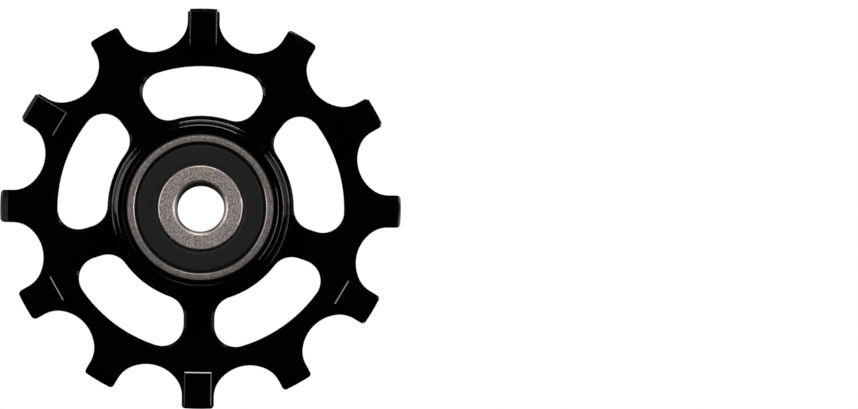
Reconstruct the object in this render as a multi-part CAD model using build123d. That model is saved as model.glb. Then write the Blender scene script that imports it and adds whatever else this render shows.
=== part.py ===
from build123d import *
import math
import os

# Derailleur jockey wheel: a toothed aluminium wheel on a sealed ball bearing. Sizes in millimetres.
# Each piece is drawn as seen from the front: x to the right, y up and z along the axle towards the
# viewer, with the origin in the middle of the bearing. stand_up() then turns the axle to lie along Y.

# Chain and tooth outline
chain_pitch = 12.7
roller_diameter = 7.75
tooth_count = 12
tooth_above_pitch = 0.866
tooth_width = 4.04
tip_corner_radius = 0.45
seat_half_angle = 38.6  # degrees of roller seat to each side of the middle of a gap
seat_flatness = 1.087  # radius of the seat over that of a gap with one plain round bottom

# Plate, rim and spokes
plate_thickness = 2.0
tip_bevel_run = 1.00
tip_bevel_drop = 0.42
tip_edge_run = 0.26
tip_edge_drop = 0.17
rim_width = 2.47
spoke_count = 5
spoke_width = 3.89
window_corner_radius = 2.7
window_chamfer = 0.36

# Pads on both faces of every second tooth, which make it a wide tooth
pad_height = 0.60
pad_shoulder = 0.29
pad_above_root = 0.10
pad_edge_run = 0.12
pad_edge_drop = 0.08
pad_bevel_run = 0.50
pad_bevel_drop = 0.22

# Hub collar round the bearing
hub_below_bearing = 0.10
hub_top_wall = 1.03
hub_foot_wall = 1.68
hub_foot_fillet = 0.30
hub_edge_radius = 0.25
hub_mouth_run = 0.40
hub_mouth_drop = 0.32
window_above_foot = 0.64

# Bearing, across: bore, ring wall, ball and ring wall add up to 19 mm outside
bore_diameter = 6.0
ring_wall = 1.48
race_clearance = 0.02
ball_diameter = 3.5
ball_count = 6
race_conformity = 0.52  # groove radius over ball diameter
inner_shoulder_height = 0.82
outer_shoulder_height = 0.77
bore_chamfer = 0.50
ring_corner_run = 0.38
ring_corner_drop = 0.50
ring_edge_break = 0.10

# Bearing, along the axle: these add up to half of its 6 mm width
pocket_clearance = 0.05
cage_web = 0.30
cage_to_seal = 0.30
seal_thickness = 0.42
seal_recess = 0.18

# Ball cage
cage_wall = 1.16
cage_front_share = 0.53  # how far the claws reach past the middle of a ball, in pocket radii
claw_slot_width = 0.80
claw_slot_depth = 1.50

# Rubber seals
seal_mouth_wall = 1.14
seal_groove_wall = 0.90
seal_rim_play = 0.02
seal_rim_run = 0.15
seal_trough_width = 0.36
seal_trough_depth = 0.20
seal_step_run = 0.20
seal_lip_gap = 0.06
seal_lip_width = 0.45
seal_lip_depth = 0.16

# Radii and heights that follow from the sizes above
half_tooth_angle = 180 / tooth_count
pitch_radius = chain_pitch / 2 / math.sin(math.radians(half_tooth_angle))
root_radius = pitch_radius - roller_diameter / 2
tip_radius = pitch_radius + tooth_above_pitch
plate_half = plate_thickness / 2
wide_half = plate_half + pad_height

bore_radius = bore_diameter / 2
ball_radius = ball_diameter / 2
ball_circle = bore_radius + ring_wall + race_clearance + ball_radius
bearing_radius = ball_circle + ball_radius + race_clearance + ring_wall
pocket_radius = ball_radius + pocket_clearance
seal_inside = pocket_radius + cage_web + cage_to_seal
seal_outside = seal_inside + seal_thickness
bearing_half = seal_outside + seal_recess
race_radius = race_conformity * ball_diameter
inner_race_bottom = ball_circle - ball_radius - race_clearance
outer_race_bottom = ball_circle + ball_radius + race_clearance
inner_shoulder = inner_race_bottom + inner_shoulder_height
outer_shoulder = outer_race_bottom - outer_shoulder_height
seal_mouth = bearing_radius - seal_mouth_wall
seal_groove = bearing_radius - seal_groove_wall

hub_half = bearing_half - hub_below_bearing
hub_top = bearing_radius + hub_top_wall
hub_foot = bearing_radius + hub_foot_wall
window_inner = hub_foot + window_above_foot
window_outer = root_radius - rim_width
beyond = tip_radius / 10  # how far a cutter reaches past what it cuts


def closed_face(points):
    """Flat face inside a closed run of straight lines."""
    return make_face(Polyline(*points, close=True))


def turned(profile):
    """Solid of revolution about the axle, from a profile drawn as radius and height."""
    return revolve(Plane.XZ * profile, Axis.Z)


def ring_of(count, shape):
    """Copies of a shape drawn at the top of the wheel, spaced evenly round it."""
    return [Rot(0, 0, 360 * index / count) * shape for index in range(count)]


def tooth_gap():
    """Space between two teeth, on the +X side: a roller seat that runs tangent into straight flanks."""
    tooth_angle = math.radians(half_tooth_angle)
    along_tooth = Vector(math.cos(tooth_angle), math.sin(tooth_angle))
    into_gap = Vector(math.sin(tooth_angle), -math.cos(tooth_angle))
    round_radius = (root_radius * into_gap.X - tooth_width / 2) / (1 - into_gap.X)
    seat_radius = seat_flatness * round_radius
    seat_centre = Vector(root_radius + seat_radius, 0)
    flank_distance = seat_centre.X * into_gap.X - tooth_width / 2
    split = math.radians(seat_half_angle)
    lean = math.sin(tooth_angle + split)
    side_radius = (flank_distance - seat_radius * lean) / (1 - lean)

    out_of_seat = Vector(-math.cos(split), math.sin(split))
    seat_end = seat_centre + out_of_seat * seat_radius
    side_centre = seat_end - out_of_seat * side_radius
    flank_start = side_centre - into_gap * side_radius
    side_middle = side_centre + (out_of_seat - into_gap).normalized() * side_radius
    flank_end = flank_start + along_tooth * (tip_radius + beyond - flank_start.dot(along_tooth))

    upper = Line(flank_end, flank_start) + ThreePointArc(flank_start, side_middle, seat_end)
    seat = ThreePointArc(seat_end, (root_radius, 0), (seat_end.X, -seat_end.Y))
    mouth = Line((flank_end.X, -flank_end.Y), flank_end)
    return make_face(upper + seat + mirror(upper, about=Plane.XZ) + mouth)


def tooth_outline():
    """Outline of the wheel, with one tooth straight up."""
    gap = Rot(0, 0, 90 - half_tooth_angle) * tooth_gap()
    outline = Circle(tip_radius) - ring_of(tooth_count, gap)
    at_tip = tip_radius - tip_corner_radius / 10
    tip_corners = [v for v in outline.vertices() if math.hypot(v.X, v.Y) > at_tip]
    return fillet(tip_corners, tip_corner_radius)


def window_faces():
    """Openings between the spokes, one of them straight up."""
    spoke = Pos(0, -window_outer / 2) * Rectangle(spoke_width, window_outer + beyond)
    faces = Circle(window_outer) - Circle(window_inner) - ring_of(spoke_count, spoke)
    corner_limit = 0.45 * (window_outer - window_inner)
    return fillet(faces.vertices(), min(window_corner_radius, corner_limit))


def pad_block():
    """Pad of the wide tooth at the top: a block with chamfered sides, a chamfered foot and a bevelled tip."""
    side_x = tooth_width / 2 - pad_shoulder
    top_x = side_x - pad_edge_run
    foot = root_radius + pad_above_root
    wall_half = wide_half - pad_edge_drop
    section = closed_face(
        [
            (-side_x, 0),
            (side_x, 0),
            (side_x, wall_half),
            (top_x, wide_half),
            (-top_x, wide_half),
            (-side_x, wall_half),
        ]
    )
    bevel_slope = pad_bevel_drop / pad_bevel_run
    side_view = closed_face(
        [
            (foot, 0),
            (foot, wall_half),
            (foot + pad_edge_run, wide_half),
            (tip_radius - pad_bevel_run, wide_half),
            (tip_radius + pad_bevel_run, wide_half - 2 * bevel_slope * pad_bevel_run),
            (tip_radius + pad_bevel_run, 0),
        ]
    )
    lengthwise = extrude(Plane.XZ * section, amount=-(tip_radius + beyond))
    crosswise = extrude(Plane.YZ * side_view, amount=tooth_width, both=True)
    return lengthwise & crosswise


def facing_cut():
    """What is machined away in front of the plate and round the hub collar, with the bevel of the tips."""
    top_edge = (hub_top, hub_half)
    foot_corner = (hub_foot, plate_half)
    bevel_slope = tip_bevel_drop / tip_bevel_run
    edge_half = plate_half - bevel_slope * (tip_bevel_run - tip_edge_run)
    profile = closed_face(
        [
            top_edge,
            foot_corner,
            (tip_radius - tip_bevel_run, plate_half),
            (tip_radius - tip_edge_run, edge_half),
            (tip_radius, edge_half - tip_edge_drop),
            (tip_radius + beyond, edge_half - tip_edge_drop),
            (tip_radius + beyond, hub_half + beyond),
            (hub_top - hub_edge_radius, hub_half + beyond),
            (hub_top - hub_edge_radius, hub_half),
        ]
    )
    foot_vertex = profile.vertices().sort_by_distance(foot_corner)[0]
    profile = fillet(foot_vertex, hub_foot_fillet)
    top_vertex = profile.vertices().sort_by_distance(top_edge)[0]
    profile = fillet(top_vertex, hub_edge_radius)
    wide_teeth = ring_of(tooth_count, pad_block())[::2]
    return turned(profile) - wide_teeth


def bearing_seat_cut():
    """Bore of the hub, with a chamfered mouth at each end."""
    mouth = bearing_radius + hub_mouth_run
    return turned(
        closed_face(
            [
                (0, -hub_half - beyond),
                (mouth, -hub_half - beyond),
                (mouth, -hub_half),
                (bearing_radius, hub_mouth_drop - hub_half),
                (bearing_radius, hub_half - hub_mouth_drop),
                (mouth, hub_half),
                (mouth, hub_half + beyond),
                (0, hub_half + beyond),
            ]
        )
    )


def pulley_wheel():
    """The wheel as it is machined: a toothed blank, faced on both sides, bored and windowed."""
    facing = facing_cut()
    wheel = extrude(tooth_outline(), amount=hub_half, both=True)
    wheel = wheel - facing - mirror(facing, about=Plane.XY) - bearing_seat_cut()
    wheel = wheel - extrude(window_faces(), amount=hub_half, both=True)
    margin = window_chamfer / 10

    def on_window_rim(edge):
        middle = edge.center()
        reach = math.hypot(middle.X, middle.Y)
        in_reach = window_inner - margin < reach < window_outer + margin
        return in_reach and abs(abs(middle.Z) - plate_half) < margin

    return chamfer(wheel.edges().filter_by(on_window_rim), window_chamfer)


def race_arc(bottom, shoulder, away):
    """Ball groove of a ring, from one shoulder to the other. away is +1 in the outer ring, -1 in the inner."""
    centre = bottom - away * race_radius
    edge = math.sqrt(race_radius**2 - (shoulder - centre) ** 2)
    return ThreePointArc((shoulder, edge), (bottom, 0), (shoulder, -edge))


def ring_face(half_outline, groove):
    """Section of a bearing ring from the outline of its front half, its ball groove and the same behind."""
    front = Polyline(*half_outline, groove @ 0)
    rear = mirror(front, about=Plane.XZ)
    back = Line(rear @ 0, front @ 0)
    return make_face(front + groove + rear + back)


def bearing_outer_ring():
    """Ring that is pressed into the hub, with a snap groove for the seal on each side."""
    outline = [
        (bearing_radius, bearing_half - ring_corner_drop),
        (bearing_radius - ring_corner_run, bearing_half),
        (seal_mouth + ring_edge_break, bearing_half),
        (seal_mouth, bearing_half - ring_edge_break),
        (seal_mouth, seal_outside),
        (seal_groove, seal_outside),
        (seal_groove, seal_inside),
        (outer_shoulder, seal_inside),
    ]
    return turned(ring_face(outline, race_arc(outer_race_bottom, outer_shoulder, 1)))


def bearing_inner_ring():
    """Ring that stands still on the axle bolt."""
    outline = [
        (bore_radius, bearing_half - bore_chamfer),
        (bore_radius + bore_chamfer, bearing_half),
        (inner_shoulder - ring_edge_break, bearing_half),
        (inner_shoulder, bearing_half - ring_edge_break),
    ]
    return turned(ring_face(outline, race_arc(inner_race_bottom, inner_shoulder, -1)))


def front_seal():
    """Moulded rubber seal: its rim snaps into the outer ring, and its sloping lip runs close to the inner."""
    rim = seal_groove - seal_rim_play
    rim_face = seal_outside - seal_rim_play
    trough_face = seal_outside - seal_trough_depth
    trough_inside = seal_mouth - seal_trough_width
    lip_tip = inner_shoulder + seal_lip_gap
    lip_root = lip_tip + seal_lip_width
    lip_face = seal_outside - seal_lip_depth
    return turned(
        closed_face(
            [
                (rim, seal_inside),
                (rim, rim_face),
                (seal_mouth, rim_face),
                (seal_mouth - seal_rim_run, trough_face),
                (trough_inside, trough_face),
                (trough_inside - seal_step_run, seal_outside),
                (lip_root, seal_outside),
                (lip_tip, lip_face),
                (lip_tip, seal_inside),
            ]
        )
    )


def ball_cage():
    """Crown cage: a ring behind the balls with claws that snap round each of them from the rear."""
    front = cage_front_share * pocket_radius
    back = pocket_radius + cage_web
    section = Pos(ball_circle, (front - back) / 2) * Rectangle(cage_wall, front + back)
    pocket = Pos(0, ball_circle, 0) * Sphere(pocket_radius)
    slot = Box(claw_slot_width, 2 * cage_wall, 2 * claw_slot_depth)
    slot = Rot(0, 0, 180 / ball_count) * Pos(0, ball_circle, front) * slot
    return turned(section) - ring_of(ball_count, pocket) - ring_of(ball_count, slot)


def balls():
    """The balls, evenly spaced, the first of them at the top."""
    return ring_of(ball_count, Pos(0, ball_circle, 0) * Sphere(ball_radius))


def stand_up(shape):
    """Turns a piece drawn as seen from the front upright: y becomes Z, and the front faces -Y."""
    return Plane.XZ * shape


pieces = {
    "pulley_wheel": pulley_wheel(),
    "bearing_outer_ring": bearing_outer_ring(),
    "bearing_inner_ring": bearing_inner_ring(),
    "front_seal": front_seal(),
    "rear_seal": mirror(front_seal(), about=Plane.XY),
    "ball_cage": ball_cage(),
}
for number, ball in enumerate(balls(), start=1):
    pieces[f"ball_{number}"] = ball

os.makedirs("parts", exist_ok=True)
for name, piece in pieces.items():
    export_step(stand_up(piece), f"parts/{name}.step")
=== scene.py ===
import bpy
import math
from mathutils import Matrix, Quaternion, Vector


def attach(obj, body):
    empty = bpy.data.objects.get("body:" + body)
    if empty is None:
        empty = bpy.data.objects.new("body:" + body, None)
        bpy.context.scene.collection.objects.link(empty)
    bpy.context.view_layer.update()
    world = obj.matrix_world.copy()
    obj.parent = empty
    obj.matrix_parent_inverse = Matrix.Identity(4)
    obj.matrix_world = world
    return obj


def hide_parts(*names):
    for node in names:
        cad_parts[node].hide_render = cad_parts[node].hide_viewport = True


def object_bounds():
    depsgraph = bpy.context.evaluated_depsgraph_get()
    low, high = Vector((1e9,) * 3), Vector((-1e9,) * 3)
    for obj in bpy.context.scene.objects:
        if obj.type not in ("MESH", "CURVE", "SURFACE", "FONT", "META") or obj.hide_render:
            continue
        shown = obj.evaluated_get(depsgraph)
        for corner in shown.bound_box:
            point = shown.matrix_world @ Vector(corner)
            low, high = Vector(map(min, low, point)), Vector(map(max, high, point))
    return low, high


# Lengths are in metres, as they are in the frame, or in millimetres where a name ends in mm.
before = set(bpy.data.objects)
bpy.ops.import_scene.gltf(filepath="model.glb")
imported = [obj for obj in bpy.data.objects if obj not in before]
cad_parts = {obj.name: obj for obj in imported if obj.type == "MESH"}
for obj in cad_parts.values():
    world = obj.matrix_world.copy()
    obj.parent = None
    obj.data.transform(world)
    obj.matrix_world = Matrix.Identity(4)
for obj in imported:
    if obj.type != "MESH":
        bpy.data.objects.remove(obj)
cad_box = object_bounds()

# Pulley wheel: one piece of aluminium, turned and milled to 12 teeth, 5 spokes and a hub collar.
# The toothed plate is kept as it is. The hub is turned again on it in finer steps, all in one with
# the plate, because the lines of light along its fillets show every facet.
tip_edge_start = 0.02514
plate_half = 0.0010
on_rim = 0.0200
bearing_seat = 0.0095
hub_half = 0.0029
hub_foot = 0.01118
hub_top = 0.01053
hub_foot_fillet = 0.00030
hub_foot_steps = 10
hub_edge_radius = 0.00025
hub_edge_steps = 8
hub_mouth_run = 0.00040
hub_mouth_drop = 0.00032
merge_gap = 1e-7
same_place = 1e-5
smooth_angle = math.radians(20)


def rounded(before, corner, after, radius, steps):
    """Points of the arc that rounds a corner of a profile, from the side of before to that of after."""
    back = (Vector(before) - Vector(corner)).normalized()
    onward = (Vector(after) - Vector(corner)).normalized()
    half_angle = back.angle(onward) / 2
    centre = Vector(corner) + (back + onward).normalized() * radius / math.sin(half_angle)
    start = Vector(corner) + back * radius / math.tan(half_angle) - centre
    end = Vector(corner) + onward * radius / math.tan(half_angle) - centre
    return [centre + start.slerp(end, step / steps) * radius for step in range(steps + 1)]


def axle_distance(point):
    """Distance of a point from the axle."""
    return math.hypot(point.x, point.z)


# Each point of the profile is a distance from the axle and a height above the wheel's middle plane.
rim_point = (on_rim, plate_half)
foot_corner = (hub_foot, plate_half)
top_corner = (hub_top, hub_half)
mouth_corner = (bearing_seat + hub_mouth_run, hub_half)
hub_profile = rounded(rim_point, foot_corner, top_corner, hub_foot_fillet, hub_foot_steps)
hub_profile += rounded(foot_corner, top_corner, mouth_corner, hub_edge_radius, hub_edge_steps)
hub_profile += [Vector(mouth_corner), Vector((bearing_seat, hub_half - hub_mouth_drop))]
plate_inside = hub_profile[0].x

bpy.ops.object.select_all(action="DESELECT")
wheel = bpy.data.objects.new("machined_wheel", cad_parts["pulley_wheel"].data.copy())
bpy.context.scene.collection.objects.link(wheel)
bpy.context.view_layer.objects.active = wheel
wheel.select_set(True)
bpy.ops.mesh.customdata_custom_splitnormals_clear()
bpy.ops.object.mode_set(mode="EDIT")
bpy.ops.mesh.select_mode(type="VERT")
bpy.ops.mesh.select_all(action="SELECT")
bpy.ops.mesh.remove_doubles(threshold=merge_gap)
bpy.ops.mesh.select_all(action="DESELECT")
bpy.ops.object.mode_set(mode="OBJECT")
# The copy loses its hub, as far out as the fillet at the foot of the collar.
for vertex in wheel.data.vertices:
    vertex.select = axle_distance(vertex.co) < plate_inside - same_place
bpy.ops.object.mode_set(mode="EDIT")
bpy.ops.mesh.delete(type="VERT")
bpy.ops.object.mode_set(mode="OBJECT")
# The front and rear rims of the hole are drawn up the profile together, and joined at the bearing seat.
for vertex in wheel.data.vertices:
    vertex.select = axle_distance(vertex.co) < plate_inside + same_place
bpy.ops.object.mode_set(mode="EDIT")
for last, point in zip(hub_profile, hub_profile[1:]):
    bpy.ops.mesh.extrude_region_move()
    bpy.ops.transform.resize(
        value=(point.x / last.x, point.y / last.y, point.x / last.x),
        center_override=(0, 0, 0),
    )
bpy.ops.mesh.select_mode(type="EDGE")
bpy.ops.mesh.bridge_edge_loops()
bpy.ops.mesh.select_all(action="SELECT")
bpy.ops.mesh.normals_make_consistent(inside=False)
bpy.ops.object.mode_set(mode="OBJECT")
bpy.ops.object.shade_smooth_by_angle(angle=smooth_angle)
# The broken edge at the tip of each tooth starts with a crisp line.
for edge in wheel.data.edges:
    ends = [wheel.data.vertices[index].co for index in edge.vertices]
    edge.select = all(abs(axle_distance(end) - tip_edge_start) < same_place for end in ends)
bpy.ops.object.mode_set(mode="EDIT")
bpy.ops.mesh.mark_sharp()
bpy.ops.object.mode_set(mode="OBJECT")


def colour(code):
    """Linear RGBA from an sRGB hex code."""
    channels = [int(code[start:start + 2], 16) / 255 for start in (1, 3, 5)]
    return [c / 12.92 if c <= 0.04045 else ((c + 0.055) / 1.055) ** 2.4 for c in channels] + [1]


def add_node(material, kind, inputs=None, **settings):
    """Adds a node to a material or world. An input is a value, or an output socket to link from."""
    tree = material.node_tree
    node = tree.nodes.new(kind)
    for name, value in settings.items():
        setattr(node, name, value)
    for key, value in (inputs or {}).items():
        if isinstance(value, bpy.types.NodeSocket):
            tree.links.new(value, node.inputs[key])
        else:
            node.inputs[key].default_value = value
    return node


def new_material(name):
    """An empty node material and its surface shader, already linked to the output."""
    material = bpy.data.materials.new(name)
    material.use_nodes = True
    material.node_tree.nodes.clear()
    shader = add_node(material, "ShaderNodeBsdfPrincipled")
    add_node(material, "ShaderNodeOutputMaterial", {"Surface": shader.outputs[0]})
    return material, shader


# Anodised aluminium, dyed black and sealed: a clear oxide over black dye, so gloss without colour.
# The etch before the dye leaves a grain that breaks up the gloss a little. The real grain is finer, and
# is drawn this coarse so that it shows.
etch_grain_mm = 0.09
dye_cloud_mm = 1.6
oxide_roughness = (0.11, 0.13)
oxide_ior = 1.6
anodised, shader = new_material("aluminium_black_anodised")
place = add_node(anodised, "ShaderNodeTexCoord").outputs["Object"]
grain = add_node(
    anodised,
    "ShaderNodeTexNoise",
    {"Vector": place, "Scale": 1000 / etch_grain_mm, "Detail": 2.0},
)
cloud = add_node(
    anodised,
    "ShaderNodeTexNoise",
    {"Vector": place, "Scale": 1000 / dye_cloud_mm, "Detail": 3.0},
)
dye = add_node(anodised, "ShaderNodeValToRGB", {"Fac": cloud.outputs["Fac"]})
dye.color_ramp.elements[0].color = colour("#010101")
dye.color_ramp.elements[1].color = colour("#040303")
gloss = add_node(
    anodised,
    "ShaderNodeMapRange",
    {"Value": grain.outputs["Fac"], "To Min": oxide_roughness[0], "To Max": oxide_roughness[1]},
)
shader.inputs["IOR"].default_value = oxide_ior
anodised.node_tree.links.new(dye.outputs["Color"], shader.inputs["Base Color"])
anodised.node_tree.links.new(gloss.outputs["Result"], shader.inputs["Roughness"])
wheel.data.materials[0] = anodised
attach(wheel, "wheel")
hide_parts("pulley_wheel")

# Bearing rings: two rings of hardened steel, pressed into the hub with the balls between them.
# Their corners are turned smooth, and their faces are ground to a mottled grain, rougher on the
# inner ring. The turned corners of the inner ring are coloured lighter than steel, a painted
# highlight along its rim and bore chamfer. Towards the edge of the bore and the outer corner at the
# hub the steel is painted darker, a painted shade.
# The share of the bare steel colour that is left where the painted shade is darkest.
painted_shade_tone = 0.18
# The real grain is finer, and is drawn this coarse so that it shows.
grit_mm = 0.17
speck_mm = 0.10
mottle_range = (0.82, 1.18)
# How squarely a surface faces along the axle, where it starts to be ground and where it is all ground.
ground_facing = (0.80, 0.95)
# Distances are from the axle. In the first range, the painted shade darkens the steel at its first
# distance and thins out to bare steel at its second; in the worn range, the wear of the face deepens
# from the first distance to the second.
ring_finishes = {
    "bearing_outer_ring": {
        "ground_roughness": 0.545,
        "turned_roughness": 0.34,
        "turned_colour_and_highlight": "#C9BEB9",
        "painted_shade_mm": (9.28, 9.12),
        "worn_mm": (8.75, 9.10),
        "worn_drop_mm": 0.036,
    },
    "bearing_inner_ring": {
        "ground_roughness": 0.76,
        "turned_roughness": 0.45,
        # Lighter than steel: a painted highlight along the inner ring's rim and bore chamfer.
        "turned_colour_and_highlight": "#FAEEE8",
        "painted_shade_mm": (3.16, 3.40),
        "worn_mm": (4.80, 5.10),
        "worn_drop_mm": 0.008,
    },
}


def surface_radius(material, place):
    """Output socket that gives each point's distance from the axle."""
    across = add_node(material, "ShaderNodeVectorMath", {0: place, 1: (1, 0, 1)}, operation="MULTIPLY")
    radius = add_node(material, "ShaderNodeVectorMath", {0: across.outputs["Vector"]}, operation="LENGTH")
    return radius.outputs["Value"]


for name, finish in ring_finishes.items():
    steel, shader = new_material(f"{name}_steel_ground")
    coordinates = add_node(steel, "ShaderNodeTexCoord").outputs
    place = coordinates["Object"]
    grit = add_node(
        steel,
        "ShaderNodeTexNoise",
        {"Vector": place, "Scale": 1000 / grit_mm, "Detail": 2.0, "Roughness": 0.7},
    )
    speck = add_node(
        steel,
        "ShaderNodeTexNoise",
        {"Vector": place, "Scale": 1000 / speck_mm, "Detail": 1.0},
    )
    grain = add_node(
        steel,
        "ShaderNodeMath",
        {0: grit.outputs["Fac"], 1: speck.outputs["Fac"]},
        operation="ADD",
    )
    mottle = add_node(
        steel,
        "ShaderNodeMapRange",
        {"Value": grain.outputs[0], "From Min": mottle_range[0], "From Max": mottle_range[1]},
    )
    tone = add_node(steel, "ShaderNodeValToRGB", {"Fac": mottle.outputs["Result"]})
    tone.color_ramp.elements[0].color = colour("#877C78")
    tone.color_ramp.elements[1].color = colour("#FAEEE8")
    facing = add_node(steel, "ShaderNodeSeparateXYZ", {"Vector": coordinates["Normal"]})
    flatness = add_node(steel, "ShaderNodeMath", {0: facing.outputs["Y"]}, operation="ABSOLUTE")
    ground = add_node(
        steel,
        "ShaderNodeMapRange",
        {"Value": flatness.outputs[0], "From Min": ground_facing[0], "From Max": ground_facing[1]},
    )
    rough = add_node(
        steel,
        "ShaderNodeMapRange",
        {
            "Value": ground.outputs["Result"],
            "To Min": finish["turned_roughness"],
            "To Max": finish["ground_roughness"],
        },
    )
    # Turned surfaces take the turned colour, on the inner ring a painted highlight; ground faces take the
    # mottled tone.
    # Inputs 6 and 7 of a Mix node are its two colours, and output 2 is the mixed one.
    tone_with_highlight = add_node(
        steel,
        "ShaderNodeMix",
        {
            "Factor": ground.outputs["Result"],
            6: colour(finish["turned_colour_and_highlight"]),
            7: tone.outputs["Color"],
        },
        data_type="RGBA",
    )
    radius = surface_radius(steel, place)
    # Painted shade: the colour darkens towards the edge of the bore and the outer corner at the hub.
    edge_shade = add_node(
        steel,
        "ShaderNodeMapRange",
        {
            "Value": radius,
            "From Min": finish["painted_shade_mm"][0] / 1000,
            "From Max": finish["painted_shade_mm"][1] / 1000,
            "To Min": painted_shade_tone,
        },
    )
    shade = add_node(
        steel,
        "ShaderNodeVectorMath",
        {0: tone_with_highlight.outputs[2], "Scale": edge_shade.outputs["Result"]},
        operation="SCALE",
    )
    outward = add_node(
        steel,
        "ShaderNodeMapRange",
        {
            "Value": radius,
            "From Min": finish["worn_mm"][0] / 1000,
            "From Max": finish["worn_mm"][1] / 1000,
        },
    ).outputs["Result"]
    fall = add_node(steel, "ShaderNodeMath", {0: outward, 1: outward}, operation="MULTIPLY")
    worn = add_node(
        steel,
        "ShaderNodeBump",
        {"Height": fall.outputs[0], "Strength": 1.0, "Distance": finish["worn_drop_mm"] / 1000},
        invert=True,
    )
    shader.inputs["Metallic"].default_value = 1.0
    steel.node_tree.links.new(shade.outputs["Vector"], shader.inputs["Base Color"])
    steel.node_tree.links.new(rough.outputs["Result"], shader.inputs["Roughness"])
    steel.node_tree.links.new(worn.outputs["Normal"], shader.inputs["Normal"])
    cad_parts[name].data.materials[0] = steel

# Seals: moulded nitrile rubber, snapped into the outer ring on both sides.
# Rubber this hard comes out of the mould matte and even, a dark charcoal. The trough along the
# outer rim is painted darker, a painted shade in the groove next to the outer ring.
rubber_roughness = 0.45
rubber_ior = 1.5
# The real grain is finer, and is drawn this coarse so that it shows.
rubber_grain_mm = 0.12
rubber_grain_depth_mm = 0.02
rubber_grain_strength = 0.1
# The painted shade sets in between these two distances from the axle.
trough_mm = (7.96, 8.04)
trough_painted_shade = 0.3
rubber, shader = new_material("nitrile_rubber_moulded")
place = add_node(rubber, "ShaderNodeTexCoord").outputs["Object"]
grain = add_node(
    rubber,
    "ShaderNodeTexNoise",
    {"Vector": place, "Scale": 1000 / rubber_grain_mm, "Detail": 2.0},
)
tone = add_node(rubber, "ShaderNodeValToRGB", {"Fac": grain.outputs["Fac"]})
tone.color_ramp.elements[0].color = colour("#252525")
tone.color_ramp.elements[1].color = colour("#2D2D2D")
# Painted shade: the colour is darkened in the trough along the outer rim.
painted_trough_shade = add_node(
    rubber,
    "ShaderNodeMapRange",
    {
        "Value": surface_radius(rubber, place),
        "From Min": trough_mm[0] / 1000,
        "From Max": trough_mm[1] / 1000,
        "To Min": 1.0,
        "To Max": trough_painted_shade,
    },
)
shade = add_node(
    rubber,
    "ShaderNodeVectorMath",
    {0: tone.outputs["Color"], "Scale": painted_trough_shade.outputs["Result"]},
    operation="SCALE",
)
matte = add_node(
    rubber,
    "ShaderNodeBump",
    {
        "Height": grain.outputs["Fac"],
        "Strength": rubber_grain_strength,
        "Distance": rubber_grain_depth_mm / 1000,
    },
)
shader.inputs["Roughness"].default_value = rubber_roughness
shader.inputs["IOR"].default_value = rubber_ior
rubber.node_tree.links.new(shade.outputs["Vector"], shader.inputs["Base Color"])
rubber.node_tree.links.new(matte.outputs["Normal"], shader.inputs["Normal"])
for name in ("front_seal", "rear_seal"):
    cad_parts[name].data.materials[0] = rubber

# Ball cage: one moulding of natural nylon, which snaps over the balls from the rear.
# Nylon without dye is a warm, slightly cloudy white with a dull shine.
nylon_cloud_mm = 1.5
nylon_roughness = 0.45
nylon, shader = new_material("nylon_natural_moulded")
place = add_node(nylon, "ShaderNodeTexCoord").outputs["Object"]
cloud = add_node(
    nylon,
    "ShaderNodeTexNoise",
    {"Vector": place, "Scale": 1000 / nylon_cloud_mm, "Detail": 3.0},
)
tone = add_node(nylon, "ShaderNodeValToRGB", {"Fac": cloud.outputs["Fac"]})
tone.color_ramp.elements[0].color = colour("#D5CDB8")
tone.color_ramp.elements[1].color = colour("#E2DBC9")
shader.inputs["Roughness"].default_value = nylon_roughness
nylon.node_tree.links.new(tone.outputs["Color"], shader.inputs["Base Color"])
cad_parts["ball_cage"].data.materials[0] = nylon

# Balls: six balls of silicon nitride, a dark grey ceramic, held between the rings by the cage.
# They are lapped to a mirror, and a faint cloudiness is left in the grey.
nitride_cloud_mm = 0.8
nitride_roughness = 0.06
nitride_ior = 2.0
ceramic, shader = new_material("silicon_nitride_lapped")
place = add_node(ceramic, "ShaderNodeTexCoord").outputs["Object"]
cloud = add_node(
    ceramic,
    "ShaderNodeTexNoise",
    {"Vector": place, "Scale": 1000 / nitride_cloud_mm, "Detail": 4.0},
)
tone = add_node(ceramic, "ShaderNodeValToRGB", {"Fac": cloud.outputs["Fac"]})
tone.color_ramp.elements[0].color = colour("#333336")
tone.color_ramp.elements[1].color = colour("#3D3D40")
shader.inputs["Roughness"].default_value = nitride_roughness
shader.inputs["IOR"].default_value = nitride_ior
ceramic.node_tree.links.new(tone.outputs["Color"], shader.inputs["Base Color"])
for name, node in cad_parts.items():
    if name.startswith("ball_") and name != "ball_cage":
        node.data.materials[0] = ceramic

# Floor: a plain pale sheet of paper just below the wheel, which keeps its shadow.
# Away from the wheel it melts into the white backdrop. It stays out of reflections, so that the black
# oxide is as dark towards it as in front, and it is clear from below, where it would hide the wheel.
floor_drop = 0.003
floor_size = 3.0
fade_start = 0.05
fade_end = 0.35
paper_roughness = 0.9
bpy.ops.object.select_all(action="DESELECT")
bpy.ops.mesh.primitive_plane_add(size=floor_size, location=(0, 0, cad_box[0].z - floor_drop))
floor = bpy.context.object
floor.name = "floor"
floor.visible_glossy = False
floor.visible_diffuse = False
floor.visible_shadow = False
paper, shader = new_material("paper_white_matte")
shader.inputs["Base Color"].default_value = colour("#F4F4F4")
shader.inputs["Roughness"].default_value = paper_roughness
place = add_node(paper, "ShaderNodeTexCoord").outputs["Object"]
distance = add_node(paper, "ShaderNodeVectorMath", {0: place}, operation="LENGTH")
far_off = add_node(
    paper,
    "ShaderNodeMapRange",
    {"Value": distance.outputs["Value"], "From Min": fade_start, "From Max": fade_end},
    interpolation_type="SMOOTHSTEP",
)
glow = add_node(paper, "ShaderNodeEmission", {"Color": colour("#FFFFFF"), "Strength": 1.0})
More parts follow.
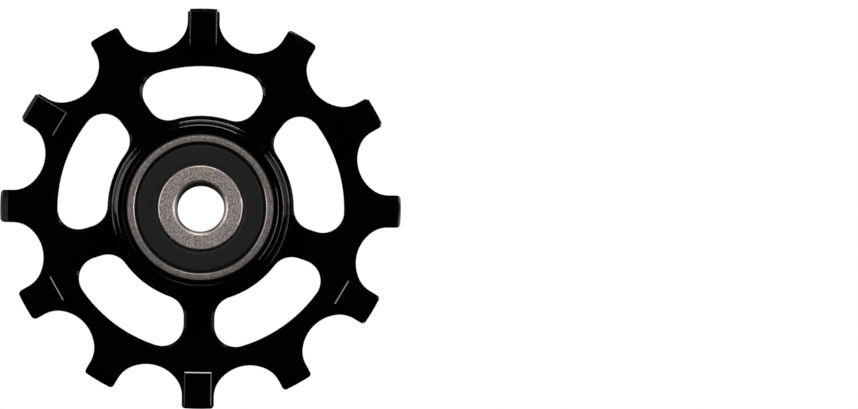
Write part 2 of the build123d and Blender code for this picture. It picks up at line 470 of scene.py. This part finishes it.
melted = add_node(
    paper,
    "ShaderNodeMixShader",
    {0: far_off.outputs["Result"], 1: shader.outputs[0], 2: glow.outputs[0]},
)
underside = add_node(paper, "ShaderNodeNewGeometry").outputs["Backfacing"]
clear = add_node(paper, "ShaderNodeBsdfTransparent")
one_sided = add_node(
    paper,
    "ShaderNodeMixShader",
    {0: underside, 1: melted.outputs[0], 2: clear.outputs[0]},
)
surface = paper.node_tree.nodes["Material Output"].inputs["Surface"]
paper.node_tree.links.new(one_sided.outputs[0], surface)
floor.data.materials.append(paper)

# Studio light: soft boxes all round the wheel, brightest above it and to both sides, with none near
# the axle, so that the flat faces stay black and light runs along the edges only.
box_distance = 2.0
# Each box has its clock angle as seen from the front and its angle from the axle, in degrees, then its
# width round the wheel and its height away from the axle, as the angles that they fill from the wheel.
soft_boxes = {
    "above": {"clock": 4.5, "off_axle": 68, "across": 34, "along": 12, "radiance": 12.5},
    "left": {"clock": 294, "off_axle": 66.5, "across": 32, "along": 24, "radiance": 5.0},
    "left_near": {"clock": 270, "off_axle": 48, "across": 10, "along": 12, "radiance": 0.3},
    "left_edge": {"clock": 268, "off_axle": 86, "across": 20, "along": 20, "radiance": 3.2},
    "left_low": {"clock": 264, "off_axle": 67, "across": 18, "along": 14, "radiance": 0.7},
    "right": {"clock": 66, "off_axle": 65, "across": 32, "along": 12, "radiance": 5.0},
    "right_edge": {"clock": 88, "off_axle": 82.7, "across": 30, "along": 4.5, "radiance": 9.0},
    "right_low": {"clock": 107, "off_axle": 65.5, "across": 34, "along": 11, "radiance": 2.5},
    "left_wall": {"clock": 274, "off_axle": 138, "across": 36, "along": 36, "radiance": 0.4},
    "right_wall": {"clock": 76, "off_axle": 138, "across": 36, "along": 36, "radiance": 0.12},
    "above_back": {"clock": 2, "off_axle": 112, "across": 30, "along": 12, "radiance": 2.5},
    "left_back": {"clock": 292, "off_axle": 112, "across": 34, "along": 12, "radiance": 2.0},
    "right_back": {"clock": 72, "off_axle": 112, "across": 40, "along": 14, "radiance": 2.6},
}
for name, box in soft_boxes.items():
    clock = math.radians(box["clock"])
    off_axle = math.radians(box["off_axle"])
    outward = Vector(
        (
            math.sin(off_axle) * math.sin(clock),
            -math.cos(off_axle),
            math.sin(off_axle) * math.cos(clock),
        )
    )
    round_wheel = Vector((math.cos(clock), 0, -math.sin(clock)))
    from_axle = outward.cross(round_wheel)
    lamp = bpy.data.lights.new(f"soft_box_{name}", "AREA")
    lamp.shape = "RECTANGLE"
    lamp.size = 2 * box_distance * math.tan(math.radians(box["across"] / 2))
    lamp.size_y = 2 * box_distance * math.tan(math.radians(box["along"] / 2))
    lamp.energy = box["radiance"] * math.pi * lamp.size * lamp.size_y
    lamp_object = bpy.data.objects.new(lamp.name, lamp)
    bpy.context.scene.collection.objects.link(lamp_object)
    lamp_object.location = outward * box_distance
    lamp_object.rotation_mode = "QUATERNION"
    lamp_turn = Matrix((round_wheel, from_axle, outward)).transposed()
    lamp_object.rotation_quaternion = lamp_turn.to_quaternion()

# Backdrop: white to the eye from every side, and dim as a light.
# Glossy surfaces see its white only where a sheet hangs, behind the wheel and a little above it. The
# room is dark on every other side, and that keeps the black oxide black.
sheet_height = math.radians(16)
sheet_radius = math.radians(11)
room_strength = 0.004
white_strength = 1.0
backdrop = bpy.data.worlds.new("white_backdrop")
backdrop.use_nodes = True
backdrop.node_tree.nodes.clear()
rays = add_node(backdrop, "ShaderNodeLightPath").outputs
direction = add_node(backdrop, "ShaderNodeTexCoord").outputs["Generated"]
towards_sheet = add_node(
    backdrop,
    "ShaderNodeVectorMath",
    {0: direction, 1: (0, math.cos(sheet_height), math.sin(sheet_height))},
    operation="DOT_PRODUCT",
)
sheet = add_node(
    backdrop,
    "ShaderNodeMath",
    {0: towards_sheet.outputs["Value"], 1: math.cos(sheet_radius)},
    operation="GREATER_THAN",
)
mirrored = add_node(
    backdrop,
    "ShaderNodeMath",
    {0: rays["Is Glossy Ray"], 1: rays["Is Transmission Ray"]},
    operation="MAXIMUM",
)
mirrored_sheet = add_node(
    backdrop,
    "ShaderNodeMath",
    {0: mirrored.outputs[0], 1: sheet.outputs[0]},
    operation="MULTIPLY",
)
looks_white = add_node(
    backdrop,
    "ShaderNodeMath",
    {0: rays["Is Camera Ray"], 1: mirrored_sheet.outputs[0]},
    operation="MAXIMUM",
)
dim = add_node(
    backdrop,
    "ShaderNodeBackground",
    {"Color": colour("#FFFFFF"), "Strength": room_strength},
)
white = add_node(
    backdrop,
    "ShaderNodeBackground",
    {"Color": colour("#FFFFFF"), "Strength": white_strength},
)
seen = add_node(
    backdrop,
    "ShaderNodeMixShader",
    {0: looks_white.outputs[0], 1: dim.outputs[0], 2: white.outputs[0]},
)
add_node(backdrop, "ShaderNodeOutputWorld", {"Surface": seen.outputs[0]})
bpy.context.scene.world = backdrop

# Camera: a long lens a little below and to the right of the axle, as in the photograph.
# Pixels are counted from the upper left corner of the photograph.
photo_px = (858, 409)
wheel_centre_px = (200.8, 208.8)
px_size = 0.000127
camera_depth = 0.6
camera_azimuth = math.radians(1.2)
camera_elevation = math.radians(-2.7)
camera_roll = math.radians(0.9)
sensor_mm = 36.0
camera_data = bpy.data.cameras.new("camera")
camera_data.sensor_width = sensor_mm
camera_data.lens = sensor_mm * camera_depth / (photo_px[0] * px_size)
camera = bpy.data.objects.new("camera", camera_data)
bpy.context.scene.collection.objects.link(camera)
bpy.context.scene.camera = camera
to_camera = Vector(
    (
        math.sin(camera_azimuth) * math.cos(camera_elevation),
        -math.cos(camera_azimuth) * math.cos(camera_elevation),
        math.sin(camera_elevation),
    )
)
wheel_in_view = Vector(
    (
        (wheel_centre_px[0] - photo_px[0] / 2) * px_size,
        (photo_px[1] / 2 - wheel_centre_px[1]) * px_size,
        -camera_depth,
    )
)
camera.location = to_camera * wheel_in_view.length
look = (-to_camera).to_track_quat("-Z", "Y")
roll = Quaternion((0, 0, 1), camera_roll)
aside = wheel_in_view.rotation_difference(Vector((0, 0, -1)))
camera.rotation_mode = "QUATERNION"
camera.rotation_quaternion = look @ roll @ aside
bpy.context.scene.view_settings.view_transform = "Standard"
